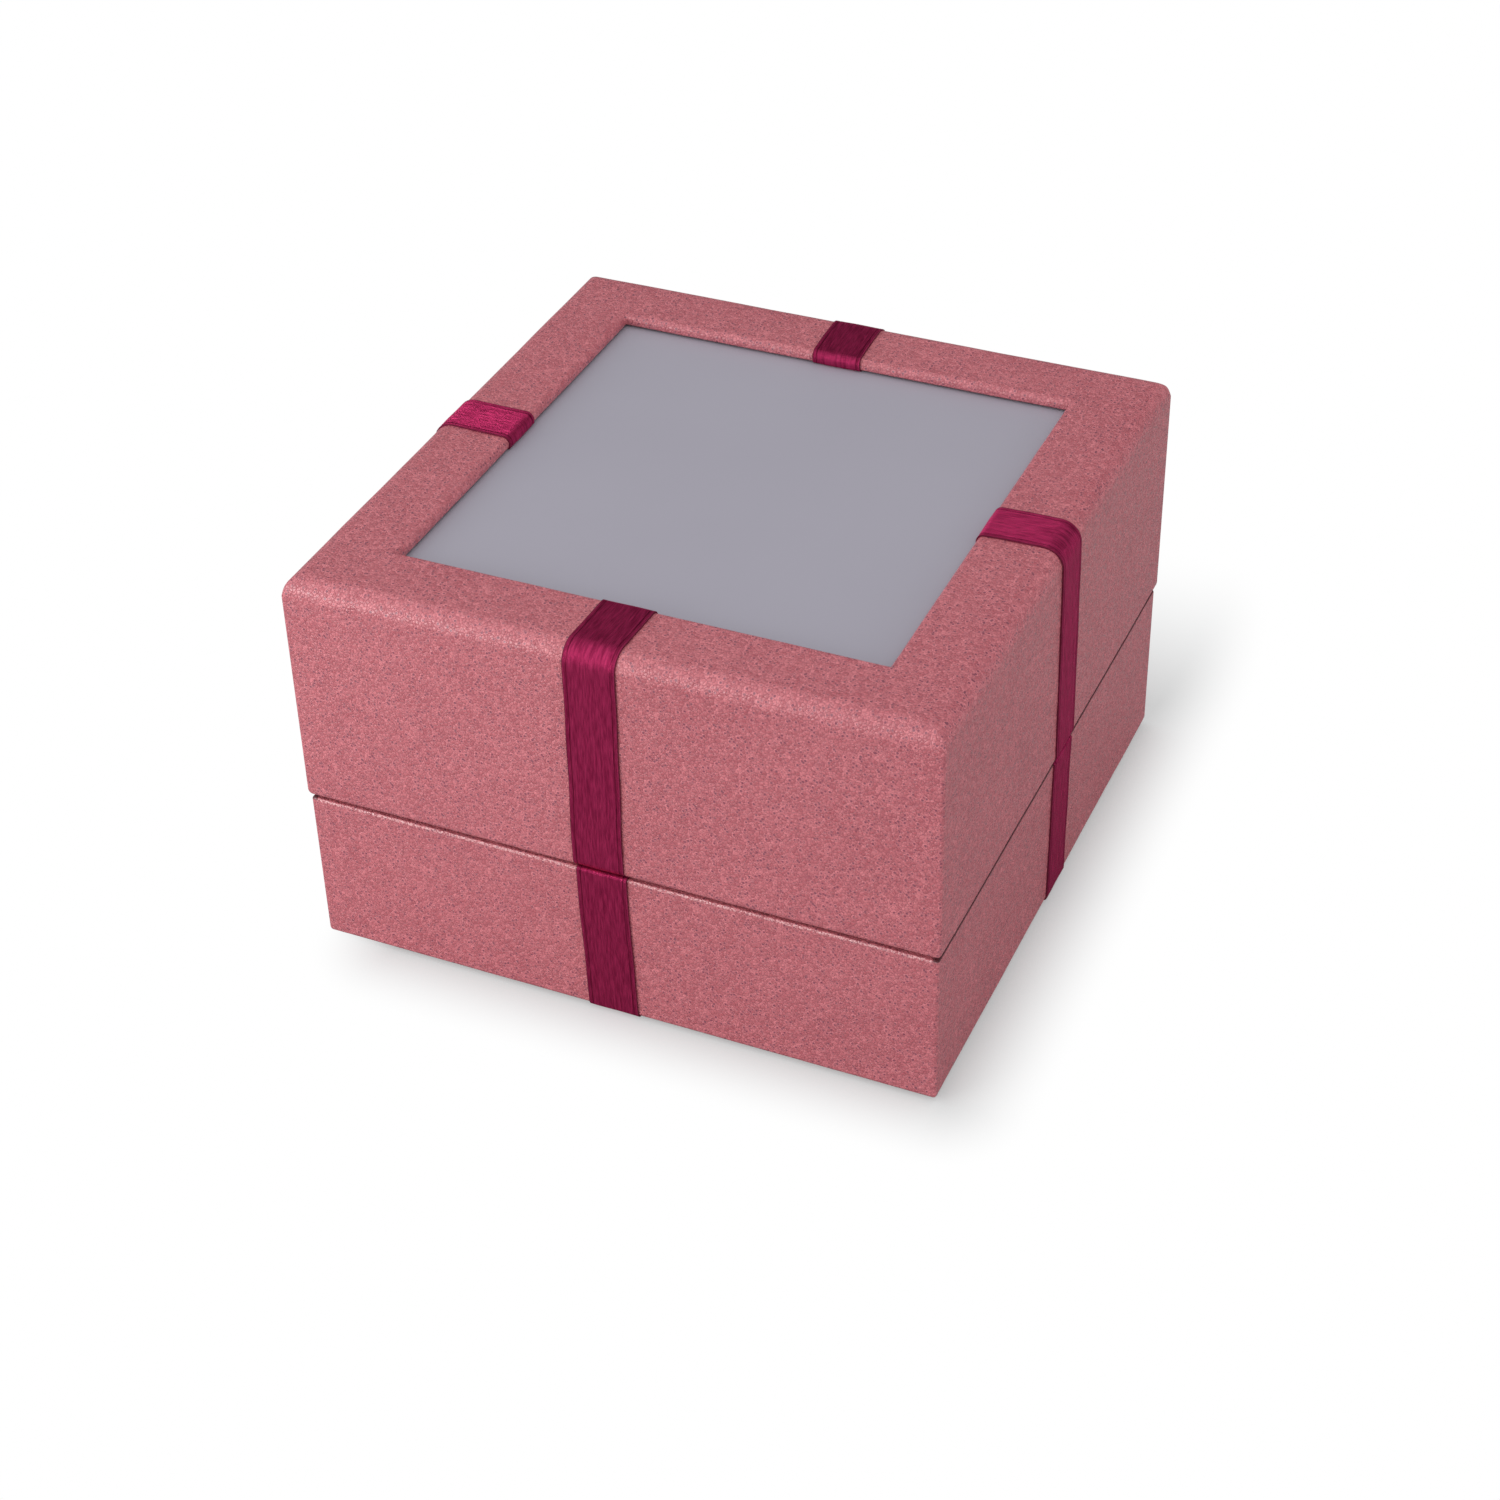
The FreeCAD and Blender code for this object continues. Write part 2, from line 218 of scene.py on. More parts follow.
class NodeBoard:
    """The node tree of a finish, of the floor or of the surroundings."""

    def __init__(self, owner: Union[bpy.types.Material, bpy.types.World]) -> None:
        """Start an empty tree.

        Args:
            owner: Material or world that the tree belongs to.
        """
        owner.use_nodes = True
        self.tree = owner.node_tree
        self.tree.nodes.clear()

    def node(
        self,
        kind: str,
        settings: Optional[dict[str, object]] = None,
        sockets: Optional[dict[Union[str, int], Given]] = None,
        output: Union[str, int] = 0,
    ) -> Wire:
        """Add a node, set it up and join its sockets.

        Args:
            kind: Type of the node.
            settings: The node's own settings, set before its sockets.
            sockets: Values or wires for its inputs, by name or number.
            output: Name or number of the output that is wanted.

        Returns:
            The wanted output, or an empty wire from a node that has none.
        """
        item = self.tree.nodes.new(kind)
        for name, setting in (settings or {}).items():
            setattr(item, name, setting)
        for name, given in (sockets or {}).items():
            if isinstance(given, Wire):
                self.tree.links.new(given.socket, item.inputs[name])
            else:
                item.inputs[name].default_value = given
        return Wire(self, item.outputs[output] if item.outputs else None)

    def place(self) -> Wire:
        """Give the place on the object, in metres."""
        return self.node("ShaderNodeTexCoord", output="Object")

    def noise(self, where: Wire, scale: float, detail: float = 2.0, rough: float = 0.5) -> Wire:
        """Give a cloudy value round a half.

        Args:
            where: Place that the pattern is read at.
            scale: Clouds to the metre.
            detail: Number of finer layers.
            rough: Weight of the finer layers.

        Returns:
            The value.
        """
        sockets = {"Vector": where, "Scale": scale, "Detail": detail, "Roughness": rough}
        return self.node("ShaderNodeTexNoise", {}, sockets)

    def mix(self, share: Given, first: Given, second: Given) -> Wire:
        """Mix two colours.

        Args:
            share: How much of the second colour.
            first: First colour.
            second: Second colour.

        Returns:
            The mixed colour.
        """
        sockets = {0: share, 6: first, 7: second}
        return self.node("ShaderNodeMix", {"data_type": "RGBA"}, sockets, 2)

    def split(self, place: Wire) -> Wire:
        """Split a place into its three measures, and give the first."""
        return self.node("ShaderNodeSeparateXYZ", {}, {0: place})

    def bump(self, height: Wire, depth: float) -> Wire:
        """Turn a height, in shares of a depth in metres, into a relief."""
        return self.node("ShaderNodeBump", {}, {"Height": height, "Distance": depth, "Strength": 1.0})

    def seen(self) -> Wire:
        """Give 1 for what the camera sees straight or through glass, and a small share in gloss.

        Returns:
            The value.
        """
        camera = self.node("ShaderNodeLightPath", output="Is Camera Ray")
        gloss = camera.other("Is Glossy Ray") * WHITE_IN_GLOSS
        return camera.at_least(gloss).at_least(camera.other("Is Transmission Ray"))

    def surface(self, sockets: dict[Union[str, int], Given]) -> None:
        """End the tree in one shaded surface.

        Args:
            sockets: Values or wires for the surface's inputs.
        """
        shader = self.node("ShaderNodeBsdfPrincipled", {}, sockets)
        self.node("ShaderNodeOutputMaterial", {}, {"Surface": shader})


@dataclass(frozen=True)
class Leatherette:
    """Rose paper with a fine pebbled grain and a soft sheen."""

    name: str = "leatherette_rose"
    deep: Colour = swatch(176, 88, 98)
    light: Colour = swatch(217, 125, 133)
    hollow: Colour = swatch(122, 54, 76)
    # Painted shade for the fold in the seam on the two flanks.
    painted_seam_shade: Colour = swatch(92, 40, 48)
    frayed: Colour = swatch(232, 178, 180)
    # Clouds, pebbles and fibres to the metre, and the depth of the grain.
    cloud: float = 60.0
    pebble: float = 1200.0
    fibre: float = 2520.0
    depth: float = mm(0.18)
    turn: tuple[float, float, float] = (0.55, 0.71, 0.37)
    # Where the base's rim is frayed in front and behind, and where the shade in the seam is painted dark on
    # the two flanks: heights above this line, and distances out from the middle.
    rim: float = SEAM - mm(0.6)
    fray_band: tuple[float, ...] = (mm(-0.6), mm(-0.3), mm(0.1), mm(0.2))
    seam_shade_band: tuple[float, ...] = (mm(-0.2), mm(0.05), mm(0.5), mm(0.8))
    flank: tuple[float, float] = (mm(72.5), mm(73.5))

    def material(self) -> bpy.types.Material:
        """Make the material.

        Returns:
            The material, whose grain is turned so that no side cuts its pebbles square.
        """
        material = bpy.data.materials.new(self.name)
        board = NodeBoard(material)
        turn = {"Vector": board.place(), "Rotation": self.turn}
        place = board.node("ShaderNodeMapping", {}, turn)
        drift = board.noise(place, self.cloud, 3.0)
        fine = board.noise(place, self.fibre, 2.0, 0.6)
        # Each cell is a pebble: a dome with a crease round it, and here and there a pit in its middle.
        cells = {"Vector": place, "Scale": self.pebble}
        cell = board.node("ShaderNodeTexVoronoi", {}, cells)
        tone = board.split(cell.other("Color"))
        edge = board.node("ShaderNodeTexVoronoi", {"feature": "DISTANCE_TO_EDGE"}, cells)
        dome = 1.0 - cell.ease(0.05, 0.75)
        crease = 1.0 - edge.ease(0.0, 0.10)
        glint = tone.other(1).ease(0.15, 0.65)
        pit = (1.0 - cell.ease(0.20, 0.50)) * tone.ease(0.48, 0.66)
        shade = (drift * 0.12 + fine * 0.60 + tone * 0.28).ease(0.27, 0.73)
        marks = (crease * 0.40).at_least(pit * 0.90)
        colour = board.mix(marks, board.mix(shade, self.deep, self.light), self.hollow)
        height = dome * 0.6 + fine * 0.6 + tone * 0.4 - crease * 0.2 - pit * 0.5
        board.surface({
            "Base Color": self._fray_rim_and_paint_seam_shade(board, colour, fine),
            "Roughness": 0.44 - dome * 0.20 + pit * 0.20 + (drift - 0.5) * 0.10,
            "Specular IOR Level": 0.7,
            "Coat Weight": dome.ease(0.15, 0.65) * glint * 0.7,
            "Coat Roughness": 0.30,
            "Normal": board.bump(height, self.depth),
        })
        return material

    def _fray_rim_and_paint_seam_shade(self, board: NodeBoard, colour: Wire, fine: Wire) -> Wire:
        """Fray the base's rim in front and behind, and paint the shade of the seam dark on its fold on the
        two flanks.

        Args:
            board: Board of the material.
            colour: Colour of the new sheet.
            fine: Fine noise that breaks up the frayed edge.

        Returns:
            The colour, frayed in front and behind, with painted seam shade on the flanks.
        """
        split = board.split(board.place())
        rise = split.other(2) - self.rim
        flank = abs(split).ease(*self.flank)
        fray = rise.band(*self.fray_band) * fine.ease(0.45, 0.56)
        colour = board.mix(fray * (1.0 - flank) * 0.85, colour, self.frayed)
        # Painted shade: darkens the top of the base's rim on the two flanks, in the seam under the lid's
        # overhang.
        return board.mix(rise.band(*self.seam_shade_band) * flank, colour, self.painted_seam_shade)


@dataclass(frozen=True)
class Satin:
    """Burgundy satin ribbon with threads along it, a woven edge on each side and painted shade along its two
    outer edges.
    """

    name: str
    width: float
    length: float
    dark: Colour = swatch(168, 35, 85)
    bright: Colour = swatch(226, 66, 124)
    # The selvedge's dark colour, which also paints shade along the ribbon's two outer edges.
    selvedge_and_edge_shade: Colour = swatch(76, 8, 32)
    edge: float = mm(1.0)
    pitch: float = mm(0.17)
    # Clouds to the metre, across and along, and how far the threads sway with the first of them.
    flow_grain: tuple[float, float] = (2200.0, 110.0)
    streak_grain: tuple[float, float] = (2600.0, 260.0)
    broad_grain: tuple[float, float] = (800.0, 60.0)
    rung_grain: tuple[float, float] = (900.0, 3600.0)
    sway: float = 9.0

    def material(self) -> bpy.types.Material:
        """Make the material.

        Returns:
            The material, which reads its place from the ribbon's own flat map.
        """
        material = bpy.data.materials.new(self.name)
        board = NodeBoard(material)
        flat = board.node("ShaderNodeUVMap", {"uv_map": "ribbon"})
        split = board.split(flat)
        across = split * self.width
        along = split.other(1) * self.length
        inset = self.width / 2 - abs(across - self.width / 2)
        flow = self._grain(board, across, along, self.flow_grain)
        streak = self._grain(board, across, along, self.streak_grain)
        broad = self._grain(board, across, along, self.broad_grain)
        rung = self._grain(board, across, along, self.rung_grain)
        twist = 0.55 + flow.ease(*MIDDLE) * 0.5 + broad.ease(*MIDDLE) * 0.3
        thread = (across * (2 * math.pi / self.pitch) + flow * self.sway).sine() * 0.5 * twist
        line = 1.0 - abs(inset - self.edge).ease(mm(0.05), mm(0.22))
        woven = 1.0 - inset.ease(self.edge - mm(0.1), self.edge)
        satin = board.mix((streak * 0.65 + broad * 0.35).ease(*MIDDLE), self.dark, self.bright)
        # Painted shadow: the ribbon's two outer edges are darkened to the selvedge colour, where its
        # thickness casts shade.
        rim = 1.0 - inset.ease(mm(0.05), mm(0.35))
        colour = board.mix((line * 0.5 + woven * 0.25).at_least(rim * 0.85), satin, self.selvedge_and_edge_shade)
        height = thread * (1.0 - woven * 0.25) + woven * rung * 0.25 - line * 0.6
        board.surface({
            "Base Color": colour,
            "Roughness": 0.38 + woven * 0.06 + rim * 0.3 + (streak - 0.5) * 0.14,
            "Metallic": 0.84 - rim * 0.7,
            "Specular IOR Level": 0.45,
            "Specular Tint": (1.0, 0.48, 0.64, 1.0),
            "Normal": board.bump(height, self.pitch * 0.80),
        })
        return material

    @staticmethod
    def _grain(board: NodeBoard, across: Wire, along: Wire, grain: tuple[float, float]) -> Wire:
        """Give a noise that is drawn out one way.

        Args:
            board: Board of the material.
            across: Place across the ribbon.
            along: Place along the ribbon.
            grain: Clouds to the metre, across and along.

        Returns:
            The value.
        """
        where = board.node("ShaderNodeCombineXYZ", {}, {0: across * grain[0], 1: along * grain[1]})
        return board.noise(where, 1.0, 2.0, 0.6)


@dataclass(frozen=True)
class PanelCoat:
    """Smooth grey coat of the panel in the window."""

    name: str = "panel_coat"
    deep: Colour = swatch(161, 158, 170)
    light: Colour = swatch(166, 163, 175)
    cloud: float = 28.0
    fine: float = 2400.0
    depth: float = mm(0.01)

    def material(self) -> bpy.types.Material:
        """Make the material.

        Returns:
            The material.
        """
        material = bpy.data.materials.new(self.name)
        board = NodeBoard(material)
        place = board.place()
        cloud = board.noise(place, self.cloud, 2.0)
        fine = board.noise(place, self.fine, 1.0)
        board.surface({
            "Base Color": board.mix(cloud * 0.7 + fine * 0.3, self.deep, self.light),
            "Roughness": 0.40 + (cloud - 0.5) * 0.10,
            "Specular IOR Level": 0.4,
            "Normal": board.bump(fine, self.depth),
        })
        return material


@dataclass(frozen=True)
class Paper:
    """Matt paper or card with fibres and a soft mottle."""

    name: str
    deep: Colour
    light: Colour
    fibre: float = 900.0
    depth: float = mm(0.05)
    rough: float = 0.78
    mottle: float = 120.0
    lie: tuple[float, float, float] = (0.4, 0.3, 0.6)
    draw: tuple[float, float, float] = (1.0, 0.35, 1.0)

    def material(self) -> bpy.types.Material:
        """Make the material.

        Returns:
            The material, with its fibres drawn out one way.
        """
        material = bpy.data.materials.new(self.name)
        board = NodeBoard(material)
        place = board.place()
        stretch = {"Vector": place, "Scale": self.draw, "Rotation": self.lie}
        strand = board.noise(board.node("ShaderNodeMapping", {}, stretch), self.fibre, 3.0, 0.6)
        mottle = board.noise(place, self.mottle, 3.0)
        fleck = board.noise(place, self.fibre * 1.7, 1.0).ease(0.66, 0.74)
        tint = board.mix(mottle * 0.5 + strand * 0.5, self.deep, self.light)
        board.surface({
            "Base Color": board.mix(fleck * 0.25, tint, self.deep),
            "Roughness": self.rough + (strand - 0.5) * 0.2,
            "Specular IOR Level": 0.35,
            "Normal": board.bump(strand + mottle * 0.4, self.depth),
        })
        return material


@dataclass(frozen=True)
class Felt:
    """Burgundy felt with a short tangled pile."""

    name: str = "felt_burgundy"
    deep: Colour = swatch(70, 14, 34)
    light: Colour = swatch(112, 34, 58)
    pile: float = 1500.0
    patch: float = 90.0
    depth: float = mm(0.25)

    def material(self) -> bpy.types.Material:
        """Make the material.

        Returns:
            The material.
        """
        material = bpy.data.materials.new(self.name)
        board = NodeBoard(material)
        place = board.place()
        tangle = board.noise(place, self.pile, 4.0, 0.7)
        patch = board.noise(place, self.patch, 2.0)
        board.surface({
            "Base Color": board.mix(tangle * 0.7 + patch * 0.3, self.deep, self.light),
            "Roughness": 0.90 + (tangle - 0.5) * 0.1,
            "Sheen Weight": 0.4,
            "Sheen Roughness": 0.6,
            "Sheen Tint": (1.0, 0.7, 0.8, 1.0),
            "Normal": board.bump(tangle, self.depth),
        })
        return material


class Bench:
    """The modelling moves that the pieces share, made with the usual operators."""

    # How nearly upright the normal of a level face is, and how bends are cut and shaded.
    level_share: float = 0.9
    bend_steps: int = 8
    round_profile: float = 0.5
    flat_weight: int = 80

    @staticmethod
    def clear() -> None:
        """Leave edit mode and deselect every object."""
        if bpy.context.object and bpy.context.object.mode != "OBJECT":
            bpy.ops.object.mode_set(mode="OBJECT")
        bpy.ops.object.select_all(action="DESELECT")

    @staticmethod
    def block(name: str, half: float, foot: float, top: float) -> bpy.types.Object:
        """Add a square block on the axis of the box.

        Args:
            name: Name of the piece.
            half: Half of its side.
            foot: Height of its underside.
            top: Height of its top.

        Returns:
            The block, with its place in its mesh.
        """
        Bench.clear()
        scale = (2 * half, 2 * half, top - foot)
        bpy.ops.mesh.primitive_cube_add(size=1.0, location=(0, 0, (foot + top) / 2), scale=scale)
        bpy.ops.object.transform_apply(location=True, rotation=True, scale=True)
        piece = bpy.context.object
        piece.name = name
        piece.data.name = name
        return piece

    @staticmethod
    def pick_face(piece: bpy.types.Object, height: float, up: float) -> None:
        """Select the inmost level face at a height, and go to edit mode.

        Args:
            piece: Piece that is worked on.
            height: Height of the face.
            up: 1 for a face that looks up, -1 for one that looks down.
        """
        bpy.ops.object.mode_set(mode="EDIT")
        bpy.ops.mesh.select_mode(type="FACE")
        bpy.ops.mesh.select_all(action="DESELECT")
        bpy.ops.object.mode_set(mode="OBJECT")
        level = [
            face for face in piece.data.polygons
            if near(face.center.z, height) and face.normal.z * up > Bench.level_share
        ]
        inmost = min(level, key=lambda face: face.center.xy.length)
        inmost.select = True
        bpy.ops.object.mode_set(mode="EDIT")

    @staticmethod
    def inset(width: float) -> None:
        """Draw the selected face in by a width."""
        bpy.ops.mesh.inset(thickness=width, depth=0.0, use_even_offset=True)

    @staticmethod
    def extrude(height: float) -> None:
        """Move the selected face up or down and leave walls behind it."""
        bpy.ops.mesh.extrude_region_move(TRANSFORM_OT_translate={"value": (0, 0, height)})

    @staticmethod
    def spread(share: float) -> None:
        """Widen the selected face level with itself, and leave a flange behind it."""
        bpy.ops.mesh.extrude_region_move(TRANSFORM_OT_translate={"value": (0, 0, 0)})
        bpy.ops.transform.resize(value=(share, share, 1.0), center_override=(0, 0, 0))

    @staticmethod
    def open_face() -> None:
        """Take the selected face away and go back to object mode."""
        bpy.ops.mesh.delete(type="FACE")
        bpy.ops.object.mode_set(mode="OBJECT")

    @staticmethod
    def slice_up(half: float, count: int) -> None:
        """Cut the whole mesh into even slices both ways, so that long edges can bow.

        Args:
            half: Half of the mesh's side.
            count: Slices to a side.
        """
        bpy.ops.object.mode_set(mode="EDIT")
        for axis in (Vector((1, 0, 0)), Vector((0, 1, 0))):
            for step in range(1, count):
                bpy.ops.mesh.select_all(action="SELECT")
                reach = half * (2 * step / count - 1)
                bpy.ops.mesh.bisect(plane_co=axis * reach, plane_no=axis)
        bpy.ops.object.mode_set(mode="OBJECT")

    @staticmethod
    def modify(piece: bpy.types.Object, kind: str, settings: dict[str, object]) -> None:
        """Add a modifier, set it and apply it.

        Args:
            piece: Piece that is worked on.
            kind: Type of the modifier.
            settings: Its settings.
        """
        Bench.clear()
        piece.select_set(True)
        bpy.context.view_layer.objects.active = piece
        bpy.ops.object.modifier_add(type=kind)
        modifier = piece.modifiers[-1]
        for name, setting in settings.items():
            setattr(modifier, name, setting)
        bpy.ops.object.modifier_apply(modifier=modifier.name)

    @staticmethod
    def round_edges(piece: bpy.types.Object, rule: EdgeRule, largest: float) -> None:
        """Round each edge by its own radius.

        Args:
            piece: Piece that is worked on.
            rule: Gives the radius of an edge from its two ends, or 0.
            largest: The largest radius that the rule gives.
        """
        mesh = piece.data
        weights = mesh.attributes.new("bevel_weight_edge", "FLOAT", "EDGE")
        for edge in mesh.edges:
            first, second = (mesh.vertices[index].co for index in edge.vertices)
            weights.data[edge.index].value = rule(first, second) / largest
        settings = {
            "limit_method": "WEIGHT",
            "width": largest,
            "segments": Bench.bend_steps,
            "profile": Bench.round_profile,
        }
        Bench.modify(piece, "BEVEL", settings)

    @staticmethod
    def thicken(piece: bpy.types.Object, sheet: float) -> None:
        """Give a skin its thickness, inwards."""
        settings = {"thickness": sheet, "offset": -1.0, "use_even_offset": True}
        Bench.modify(piece, "SOLIDIFY", settings)

    @staticmethod
    def smooth(piece: bpy.types.Object, angle: float) -> None:
        """Shade the bends smooth and keep the flats flat.

        Args:
            piece: Piece that is worked on.
            angle: Sharpest bend that is smoothed, in degrees.
        """
        Bench.clear()
        piece.select_set(True)
        bpy.context.view_layer.objects.active = piece
        bpy.ops.object.shade_smooth_by_angle(angle=math.radians(angle))
        Bench.modify(piece, "WEIGHTED_NORMAL", {"keep_sharp": True, "weight": Bench.flat_weight})


@dataclass
class Cover:
    """A leatherette sheet glued over the boards of the lid or of the base."""

    name: str
    node: str
    body: str
    half: float
    foot: float
    top: float
    sheet: float = mm(0.46)
    corner: float = mm(0.7)
    fold: float = mm(0.5)
    slices: int = 18
    smoothed: float = 40.0
    # How uneven the sheet is: a slow swell that bows with the height, and a ripple on it.
    # Turns are in radians to the metre.
    swell: float = mm(0.03)
    swell_turns: tuple[float, float, float] = (110.0, 130.0, 50.0)
    bow: float = 1.3
    bow_turns: float = 70.0
    ripple: float = 0.6
    ripple_turns: tuple[float, float, float] = (310.0, 270.0, 190.0)

    @property
    def rounds(self) -> dict[tuple[float, float], float]:
        """Radius of each level edge, by how far out it lies and its height."""
        raise NotImplementedError

    def rounded(self, first: Vector, second: Vector) -> float:
        """Give the radius of an edge from its two ends.

        Args:
            first: One end of the edge.
            second: Its other end.

        Returns:
            The radius, or 0 for an edge that stays as it is.
        """
        upright = near(first.x, second.x) and near(first.y, second.y)
        if upright and near(abs(first.x), abs(first.y)):
            return self.corner if near(reach(first), self.half) else 0.0
        if not near(first.z, second.z) or not near(reach(first), reach(second)):
            return 0.0
        for (out, height), radius in self.rounds.items():
            if near(reach(first), out) and near(first.z, height):
                return radius
        return 0.0

    def skin(self) -> bpy.types.Object:
        """Make the outer skin, open at its turned-in ends."""
        raise NotImplementedError

    def build(self) -> bpy.types.Object:
        """Make the sheet.

        Returns:
            The finished piece, which stands for its node and rides with its body.
        """
        piece = self.skin()
        Bench.slice_up(self.half, self.slices)
        Bench.round_edges(piece, self.rounded, max(self.rounds.values()))
        self.ease_flat(piece)
        Bench.thicken(piece, self.sheet)
        Bench.smooth(piece, self.smoothed)
        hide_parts(self.node)
        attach(piece, self.body)
        return piece

    def ease_flat(self, piece: bpy.types.Object) -> None:
        """Let the glued sheet swell and dip a little, as by hand.

        Args:
            piece: The skin.
        """
        turn_x, turn_y, turn_z = self.swell_turns
        for vertex in piece.data.vertices:
            x, y, z = vertex.co
            wave = math.sin(x * turn_x + self.bow * math.sin(z * self.bow_turns))
            wave *= math.sin(y * turn_y + z * turn_z)
            wave += self.ripple * math.sin(vertex.co.dot(self.ripple_turns))
            vertex.co += vertex.normal * (self.swell * wave)

    def dress(self, piece: bpy.types.Object, material: bpy.types.Material) -> None:
        """Put the finish on the piece."""
        piece.data.materials.append(material)


@dataclass
class LidCover(Cover):
    """The sheet over the lid, turned in at the window and inside the walls."""

    name: str = "lid_cover"
    node: str = "lid_wrap"
    body: str = "lid"
    half: float = mm(75.0)
    foot: float = SEAM + mm(0.35)
    top: float = LID_TOP
    window: float = mm(56.0)
    lip_foot: float = LID_TOP - mm(2.5)
    lip_turn: float = mm(61.4)
    inside: float = mm(70.0)
    turn_end: float = SEAM + mm(12.5)
    top_round: float = mm(4.4)
    window_round: float = mm(1.5)
    foot_round: float = mm(1.6)

    @property
    def rounds(self) -> dict[tuple[float, float], float]:
        """Round the level edges.

        Returns:
            The radius of each, by how far out it lies and its height.
        """
        return {
            (self.half, self.top): self.top_round,
            (self.window, self.top): self.window_round,
            (self.window, self.lip_foot): self.fold,
            (self.half, self.foot): self.foot_round,
            (self.inside, self.foot): self.fold,
        }

    def skin(self) -> bpy.types.Object:
        """Make the outer skin, open under the lip and inside the walls.

        Returns:
            The skin.
        """
        piece = Bench.block(self.name, self.half, self.foot, self.top)
        Bench.pick_face(piece, self.top, 1)
        Bench.inset(self.half - self.window)
        Bench.extrude(self.lip_foot - self.top)
        Bench.spread(self.lip_turn / self.window)
        Bench.open_face()
        Bench.pick_face(piece, self.foot, -1)
        Bench.inset(self.half - self.inside)
        Bench.extrude(self.turn_end - self.foot)
        Bench.open_face()
        return piece


@dataclass
class BaseCover(Cover):
    """The sheet over the base, turned in over the rim and under the bottom."""

    name: str = "base_cover"
    node: str = "base_wrap"
    body: str = "base"
    half: float = mm(74.5)
    foot: float = mm(0.8)
    top: float = SEAM - mm(0.35)
    inside: float = mm(69.5)
    turn_end: float = SEAM - mm(12.5)
    under_end: float = mm(58.0)
    rim_round: float = mm(0.5)
    foot_round: float = mm(1.1)

    @property
    def rounds(self) -> dict[tuple[float, float], float]:
        """Round the level edges.

        Returns:
            The radius of each, by how far out it lies and its height.
        """
        return {
            (self.half, self.top): self.rim_round,
            (self.inside, self.top): self.fold,
            (self.half, self.foot): self.foot_round,
        }

    def skin(self) -> bpy.types.Object:
        """Make the outer skin, open inside the rim and under the bottom.

        Returns:
            The skin.
        """
        piece = Bench.block(self.name, self.half, self.foot, self.top)
        Bench.pick_face(piece, self.top, 1)
        Bench.inset(self.half - self.inside)
        Bench.extrude(self.turn_end - self.top)
        Bench.open_face()
        Bench.pick_face(piece, self.foot, -1)
        Bench.inset(self.half - self.under_end)
        Bench.open_face()
        return piece


@dataclass(frozen=True)
class Station:
    """A place on the line that a ribbon follows."""

    out: float
    height: float
    face: tuple[float, float]
    along: float


